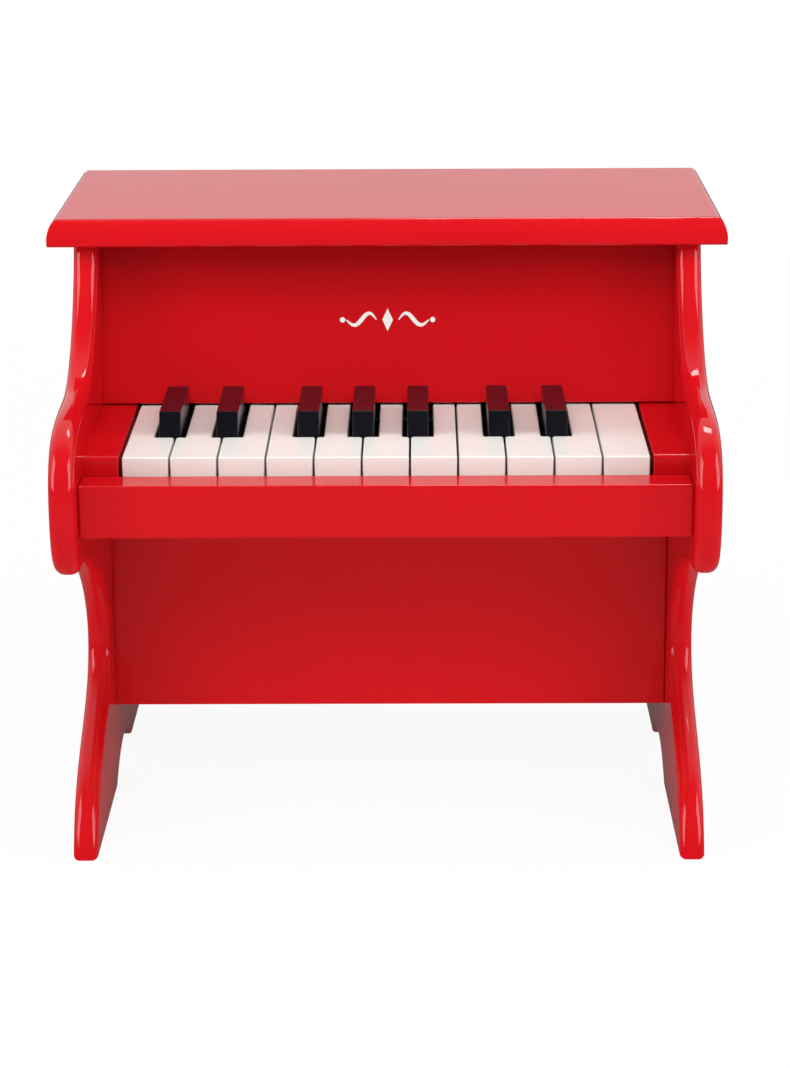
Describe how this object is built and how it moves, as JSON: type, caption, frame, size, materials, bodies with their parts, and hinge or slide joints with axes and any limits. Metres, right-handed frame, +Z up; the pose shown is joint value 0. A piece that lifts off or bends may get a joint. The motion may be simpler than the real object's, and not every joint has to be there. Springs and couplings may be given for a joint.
{
  "type": "toy upright piano",
  "caption": "Glossy red toy upright piano: scrolled side panels, overhanging lid, slip and cheek blocks, hinged white and black keys that swing wooden hammers at hanging steel tone rods.",
  "frame": {"origin": "on the floor, midway between the arm noses and the back edge of the lid, on the centre line", "axes": "+X to the right as the player sees it, -Y towards the player, +Z up"},
  "size_m": [0.3, 0.257, 0.2715],
  "materials": {
    "red_lacquer": "high-gloss red lacquer on wood",
    "back_lacquer": "thin satin red paint on hardboard",
    "white_enamel": "satin white enamel on wood",
    "black_enamel": "gloss black enamel on wood",
    "bare_wood": "bare sanded wood",
    "hammer_wood": "bare turned beech",
    "bright_steel": "bright drawn steel",
    "cast_iron": "painted casting",
    "felt": "pressed felt"
  },
  "bodies": {
    "case": {"side_panel_left": "red_lacquer", "side_panel_right": "red_lacquer", "lid": "red_lacquer", "nameboard": "red_lacquer", "lower_panel": "red_lacquer", "bottom_board": "red_lacquer", "back_panel": "back_lacquer", "key_bed": "bare_wood", "key_slip": "red_lacquer", "cheek_block_left": "red_lacquer", "cheek_block_right": "red_lacquer", "dowels": "bare_wood", "screws": "bright_steel", "key_stands": "bright_steel", "key_axle": "bright_steel", "key_springs": "bright_steel", "key_felts": "felt", "tail_rail": "bare_wood", "hammer_rail": "bare_wood", "hammer_stands": "bright_steel", "hammer_axle": "bright_steel", "tone_block": "cast_iron", "tone_rods": "bright_steel"},
    "white_key_1_body": {"white_key_1": "white_enamel"},
    "black_key_1_body": {"black_key_1": "black_enamel"},
    "white_key_2_body": {"white_key_2": "white_enamel"},
    "black_key_2_body": {"black_key_2": "black_enamel"},
    "white_key_3_body": {"white_key_3": "white_enamel"},
    "white_key_4_body": {"white_key_4": "white_enamel"},
    "black_key_3_body": {"black_key_3": "black_enamel"},
    "white_key_5_body": {"white_key_5": "white_enamel"},
    "black_key_4_body": {"black_key_4": "black_enamel"},
    "white_key_6_body": {"white_key_6": "white_enamel"},
    "black_key_5_body": {"black_key_5": "black_enamel"},
    "white_key_7_body": {"white_key_7": "white_enamel"},
    "white_key_8_body": {"white_key_8": "white_enamel"},
    "black_key_6_body": {"black_key_6": "black_enamel"},
    "white_key_9_body": {"white_key_9": "white_enamel"},
    "black_key_7_body": {"black_key_7": "black_enamel"},
    "white_key_10_body": {"white_key_10": "white_enamel"},
    "white_key_11_body": {"white_key_11": "white_enamel"},
    "hammer_1_body": {"hammer_1": "hammer_wood"},
    "hammer_2_body": {"hammer_2": "hammer_wood"},
    "hammer_3_body": {"hammer_3": "hammer_wood"},
    "hammer_4_body": {"hammer_4": "hammer_wood"},
    "hammer_5_body": {"hammer_5": "hammer_wood"},
    "hammer_6_body": {"hammer_6": "hammer_wood"},
    "hammer_7_body": {"hammer_7": "hammer_wood"},
    "hammer_8_body": {"hammer_8": "hammer_wood"},
    "hammer_9_body": {"hammer_9": "hammer_wood"},
    "hammer_10_body": {"hammer_10": "hammer_wood"},
    "hammer_11_body": {"hammer_11": "hammer_wood"},
    "hammer_12_body": {"hammer_12": "hammer_wood"},
    "hammer_13_body": {"hammer_13": "hammer_wood"},
    "hammer_14_body": {"hammer_14": "hammer_wood"},
    "hammer_15_body": {"hammer_15": "hammer_wood"},
    "hammer_16_body": {"hammer_16": "hammer_wood"},
    "hammer_17_body": {"hammer_17": "hammer_wood"},
    "hammer_18_body": {"hammer_18": "hammer_wood"}
  },
  "joints": [
    {"name": "white_key_1_press", "type": "hinge", "parent": "case", "child": "white_key_1_body", "pos_m": [0, 0.008, 0.177], "axis": [1, 0, 0], "range_deg": [0, 4], "stiffness_Nm_per_rad": 0.03, "springref_deg": -34.38},
    {"name": "black_key_1_press", "type": "hinge", "parent": "case", "child": "black_key_1_body", "pos_m": [0, 0.008, 0.177], "axis": [1, 0, 0], "range_deg": [0, 4], "stiffness_Nm_per_rad": 0.03, "springref_deg": -34.38},
    {"name": "white_key_2_press", "type": "hinge", "parent": "case", "child": "white_key_2_body", "pos_m": [0, 0.008, 0.177], "axis": [1, 0, 0], "range_deg": [0, 4], "stiffness_Nm_per_rad": 0.03, "springref_deg": -34.38},
    {"name": "black_key_2_press", "type": "hinge", "parent": "case", "child": "black_key_2_body", "pos_m": [0, 0.008, 0.177], "axis": [1, 0, 0], "range_deg": [0, 4], "stiffness_Nm_per_rad": 0.03, "springref_deg": -34.38},
    {"name": "white_key_3_press", "type": "hinge", "parent": "case", "child": "white_key_3_body", "pos_m": [0, 0.008, 0.177], "axis": [1, 0, 0], "range_deg": [0, 4], "stiffness_Nm_per_rad": 0.03, "springref_deg": -34.38},
    {"name": "white_key_4_press", "type": "hinge", "parent": "case", "child": "white_key_4_body", "pos_m": [0, 0.008, 0.177], "axis": [1, 0, 0], "range_deg": [0, 4], "stiffness_Nm_per_rad": 0.03, "springref_deg": -34.38},
    {"name": "black_key_3_press", "type": "hinge", "parent": "case", "child": "black_key_3_body", "pos_m": [0, 0.008, 0.177], "axis": [1, 0, 0], "range_deg": [0, 4], "stiffness_Nm_per_rad": 0.03, "springref_deg": -34.38},
    {"name": "white_key_5_press", "type": "hinge", "parent": "case", "child": "white_key_5_body", "pos_m": [0, 0.008, 0.177], "axis": [1, 0, 0], "range_deg": [0, 4], "stiffness_Nm_per_rad": 0.03, "springref_deg": -34.38},
    {"name": "black_key_4_press", "type": "hinge", "parent": "case", "child": "black_key_4_body", "pos_m": [0, 0.008, 0.177], "axis": [1, 0, 0], "range_deg": [0, 4], "stiffness_Nm_per_rad": 0.03, "springref_deg": -34.38},
    {"name": "white_key_6_press", "type": "hinge", "parent": "case", "child": "white_key_6_body", "pos_m": [0, 0.008, 0.177], "axis": [1, 0, 0], "range_deg": [0, 4], "stiffness_Nm_per_rad": 0.03, "springref_deg": -34.38},
    {"name": "black_key_5_press", "type": "hinge", "parent": "case", "child": "black_key_5_body", "pos_m": [0, 0.008, 0.177], "axis": [1, 0, 0], "range_deg": [0, 4], "stiffness_Nm_per_rad": 0.03, "springref_deg": -34.38},
    {"name": "white_key_7_press", "type": "hinge", "parent": "case", "child": "white_key_7_body", "pos_m": [0, 0.008, 0.177], "axis": [1, 0, 0], "range_deg": [0, 4], "stiffness_Nm_per_rad": 0.03, "springref_deg": -34.38},
    {"name": "white_key_8_press", "type": "hinge", "parent": "case", "child": "white_key_8_body", "pos_m": [0, 0.008, 0.177], "axis": [1, 0, 0], "range_deg": [0, 4], "stiffness_Nm_per_rad": 0.03, "springref_deg": -34.38},
    {"name": "black_key_6_press", "type": "hinge", "parent": "case", "child": "black_key_6_body", "pos_m": [0, 0.008, 0.177], "axis": [1, 0, 0], "range_deg": [0, 4], "stiffness_Nm_per_rad": 0.03, "springref_deg": -34.38},
    {"name": "white_key_9_press", "type": "hinge", "parent": "case", "child": "white_key_9_body", "pos_m": [0, 0.008, 0.177], "axis": [1, 0, 0], "range_deg": [0, 4], "stiffness_Nm_per_rad": 0.03, "springref_deg": -34.38},
    {"name": "black_key_7_press", "type": "hinge", "parent": "case", "child": "black_key_7_body", "pos_m": [0, 0.008, 0.177], "axis": [1, 0, 0], "range_deg": [0, 4], "stiffness_Nm_per_rad": 0.03, "springref_deg": -34.38},
    {"name": "white_key_10_press", "type": "hinge", "parent": "case", "child": "white_key_10_body", "pos_m": [0, 0.008, 0.177], "axis": [1, 0, 0], "range_deg": [0, 4], "stiffness_Nm_per_rad": 0.03, "springref_deg": -34.38},
    {"name": "white_key_11_press", "type": "hinge", "parent": "case", "child": "white_key_11_body", "pos_m": [0, 0.008, 0.177], "axis": [1, 0, 0], "range_deg": [0, 4], "stiffness_Nm_per_rad": 0.03, "springref_deg": -34.38},
    {"name": "hammer_1_swing", "type": "hinge", "parent": "case", "child": "hammer_1_body", "pos_m": [0, 0.1, 0.19], "axis": [-1, 0, 0], "range_deg": [0, 24]},
    {"name": "hammer_2_swing", "type": "hinge", "parent": "case", "child": "hammer_2_body", "pos_m": [0, 0.1, 0.19], "axis": [-1, 0, 0], "range_deg": [0, 24]},
    {"name": "hammer_3_swing", "type": "hinge", "parent": "case", "child": "hammer_3_body", "pos_m": [0, 0.1, 0.19], "axis": [-1, 0, 0], "range_deg": [0, 24]},
    {"name": "hammer_4_swing", "type": "hinge", "parent": "case", "child": "hammer_4_body", "pos_m": [0, 0.1, 0.19], "axis": [-1, 0, 0], "range_deg": [0, 24]},
    {"name": "hammer_5_swing", "type": "hinge", "parent": "case", "child": "hammer_5_body", "pos_m": [0, 0.1, 0.19], "axis": [-1, 0, 0], "range_deg": [0, 24]},
    {"name": "hammer_6_swing", "type": "hinge", "parent": "case", "child": "hammer_6_body", "pos_m": [0, 0.1, 0.19], "axis": [-1, 0, 0], "range_deg": [0, 24]},
    {"name": "hammer_7_swing", "type": "hinge", "parent": "case", "child": "hammer_7_body", "pos_m": [0, 0.1, 0.19], "axis": [-1, 0, 0], "range_deg": [0, 24]},
    {"name": "hammer_8_swing", "type": "hinge", "parent": "case", "child": "hammer_8_body", "pos_m": [0, 0.1, 0.19], "axis": [-1, 0, 0], "range_deg": [0, 24]},
    {"name": "hammer_9_swing", "type": "hinge", "parent": "case", "child": "hammer_9_body", "pos_m": [0, 0.1, 0.19], "axis": [-1, 0, 0], "range_deg": [0, 24]},
    {"name": "hammer_10_swing", "type": "hinge", "parent": "case", "child": "hammer_10_body", "pos_m": [0, 0.1, 0.19], "axis": [-1, 0, 0], "range_deg": [0, 24]},
    {"name": "hammer_11_swing", "type": "hinge", "parent": "case", "child": "hammer_11_body", "pos_m": [0, 0.1, 0.19], "axis": [-1, 0, 0], "range_deg": [0, 24]},
    {"name": "hammer_12_swing", "type": "hinge", "parent": "case", "child": "hammer_12_body", "pos_m": [0, 0.1, 0.19], "axis": [-1, 0, 0], "range_deg": [0, 24]},
    {"name": "hammer_13_swing", "type": "hinge", "parent": "case", "child": "hammer_13_body", "pos_m": [0, 0.1, 0.19], "axis": [-1, 0, 0], "range_deg": [0, 24]},
    {"name": "hammer_14_swing", "type": "hinge", "parent": "case", "child": "hammer_14_body", "pos_m": [0, 0.1, 0.19], "axis": [-1, 0, 0], "range_deg": [0, 24]},
    {"name": "hammer_15_swing", "type": "hinge", "parent": "case", "child": "hammer_15_body", "pos_m": [0, 0.1, 0.19], "axis": [-1, 0, 0], "range_deg": [0, 24]},
    {"name": "hammer_16_swing", "type": "hinge", "parent": "case", "child": "hammer_16_body", "pos_m": [0, 0.1, 0.19], "axis": [-1, 0, 0], "range_deg": [0, 24]},
    {"name": "hammer_17_swing", "type": "hinge", "parent": "case", "child": "hammer_17_body", "pos_m": [0, 0.1, 0.19], "axis": [-1, 0, 0], "range_deg": [0, 24]},
    {"name": "hammer_18_swing", "type": "hinge", "parent": "case", "child": "hammer_18_body", "pos_m": [0, 0.1, 0.19], "axis": [-1, 0, 0], "range_deg": [0, 24]}
  ],
  "couplings": [
    {"joint": "hammer_1_swing", "follows": "white_key_1_press", "ratio": 6},
    {"joint": "hammer_2_swing", "follows": "black_key_1_press", "ratio": 6},
    {"joint": "hammer_3_swing", "follows": "white_key_2_press", "ratio": 6},
    {"joint": "hammer_4_swing", "follows": "black_key_2_press", "ratio": 6},
    {"joint": "hammer_5_swing", "follows": "white_key_3_press", "ratio": 6},
    {"joint": "hammer_6_swing", "follows": "white_key_4_press", "ratio": 6},
    {"joint": "hammer_7_swing", "follows": "black_key_3_press", "ratio": 6},
    {"joint": "hammer_8_swing", "follows": "white_key_5_press", "ratio": 6},
    {"joint": "hammer_9_swing", "follows": "black_key_4_press", "ratio": 6},
    {"joint": "hammer_10_swing", "follows": "white_key_6_press", "ratio": 6},
    {"joint": "hammer_11_swing", "follows": "black_key_5_press", "ratio": 6},
    {"joint": "hammer_12_swing", "follows": "white_key_7_press", "ratio": 6},
    {"joint": "hammer_13_swing", "follows": "white_key_8_press", "ratio": 6},
    {"joint": "hammer_14_swing", "follows": "black_key_6_press", "ratio": 6},
    {"joint": "hammer_15_swing", "follows": "white_key_9_press", "ratio": 6},
    {"joint": "hammer_16_swing", "follows": "black_key_7_press", "ratio": 6},
    {"joint": "hammer_17_swing", "follows": "white_key_10_press", "ratio": 6},
    {"joint": "hammer_18_swing", "follows": "white_key_11_press", "ratio": 6}
  ]
}
